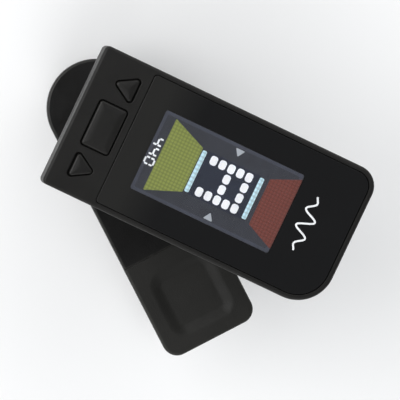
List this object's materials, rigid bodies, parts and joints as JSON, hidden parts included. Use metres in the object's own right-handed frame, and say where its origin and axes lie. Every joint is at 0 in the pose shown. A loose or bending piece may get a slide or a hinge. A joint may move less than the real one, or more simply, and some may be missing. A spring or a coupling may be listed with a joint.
{
  "type": "clip-on tuner",
  "caption": "Clip-on instrument tuner: a sprung jaw clip carries a small screen and three buttons on a turntable and a two-hinge arm.",
  "frame": {"origin": "on the rear jaw's flat outer face, straight under the clip's pin", "axes": "+X along the clip's pin, +Y along the clip towards the jaw tips, +Z from the rear jaw towards the display head"},
  "size_m": [0.0524, 0.0674, 0.0534],
  "materials": {
    "housing_plastic": "fine matt texture",
    "clip_plastic": "fine matt texture",
    "hinge_plastic": "satin moulded",
    "button_plastic": "satin moulded",
    "window_acrylic": "polished black, clear over the screen",
    "pad_rubber": "matt, ribbed",
    "pin_steel": "turned, nickel plated",
    "spring_steel": "drawn wire",
    "cell_steel": "pressed can",
    "lcd_glass": "polished glass sandwich",
    "backlight_plastic": "white diffuser",
    "circuit_board": "green solder mask",
    "chip_epoxy": "moulded epoxy",
    "contact_brass": "plated strip",
    "connector_rubber": "elastomer strip"
  },
  "bodies": {
    "rear_clip": {"rear_jaw": "clip_plastic", "rear_pad": "pad_rubber", "clip_pin": "pin_steel", "torsion_spring": "spring_steel"},
    "front_clip": {"front_jaw": "clip_plastic", "front_pad": "pad_rubber"},
    "turntable": {"swivel_base": "hinge_plastic", "swivel_screw": "pin_steel", "swivel_washer": "spring_steel", "base_hinge_pin": "pin_steel"},
    "arm": {"hinge_arm": "hinge_plastic"},
    "head": {"rear_cover": "housing_plastic", "front_bezel": "housing_plastic", "display_window": "window_acrylic", "head_hinge_pin": "pin_steel", "lcd_panel": "lcd_glass", "backlight": "backlight_plastic", "lcd_connector": "connector_rubber", "main_pcb": "circuit_board", "tuner_chip": "chip_epoxy", "quartz_crystal": "cell_steel", "piezo_sensor": "contact_brass", "coin_cell": "cell_steel", "battery_contact_plus": "contact_brass", "battery_contact_minus": "contact_brass", "power_switch": "chip_epoxy", "up_switch": "chip_epoxy", "down_switch": "chip_epoxy", "case_screw_1": "pin_steel", "case_screw_2": "pin_steel", "case_screw_3": "pin_steel", "case_screw_4": "pin_steel"},
    "power_button": {"power_button": "button_plastic"},
    "up_button": {"up_button": "button_plastic"},
    "down_button": {"down_button": "button_plastic"},
    "battery_cap": {"battery_cap": "housing_plastic"}
  },
  "joints": [
    {"name": "clip_hinge", "type": "hinge", "parent": "rear_clip", "child": "front_clip", "pos_m": [0, 0, 0.0104], "axis": [1, 0, 0], "range_deg": [0, 36], "stiffness_Nm_per_rad": 0.1, "springref_deg": -68.75, "deforming": ["torsion_spring"]},
    {"name": "head_swivel", "type": "hinge", "parent": "front_clip", "child": "turntable", "pos_m": [0, 0.02084, 0.0144], "axis": [0, 0.3168, 0.9485], "continuous": true},
    {"name": "arm_fold", "type": "hinge", "parent": "turntable", "child": "arm", "pos_m": [0, 0.02249, 0.01934], "axis": [-0.796, -0.5741, 0.1918], "range_deg": [-12, 45]},
    {"name": "head_tilt", "type": "hinge", "parent": "arm", "child": "head", "pos_m": [0, 0.0255, 0.02835], "axis": [-0.796, -0.5741, 0.1918], "range_deg": [-12, 60]},
    {"name": "power_press", "type": "slide", "parent": "head", "child": "power_button", "axis": [0, -0.3168, -0.9485], "range_m": [0, 0.0003], "stiffness_N_per_m": 250, "springref_m": -0.001},
    {"name": "up_press", "type": "slide", "parent": "head", "child": "up_button", "axis": [0, -0.3168, -0.9485], "range_m": [0, 0.0003], "stiffness_N_per_m": 250, "springref_m": -0.001},
    {"name": "down_press", "type": "slide", "parent": "head", "child": "down_button", "axis": [0, -0.3168, -0.9485], "range_m": [0, 0.0003], "stiffness_N_per_m": 250, "springref_m": -0.001},
    {"name": "battery_cap_turn", "type": "hinge", "parent": "head", "child": "battery_cap", "pos_m": [0.01453, 0.0083, 0.03715], "axis": [0, -0.3168, -0.9485], "range_deg": [0, 30]}
  ]
}
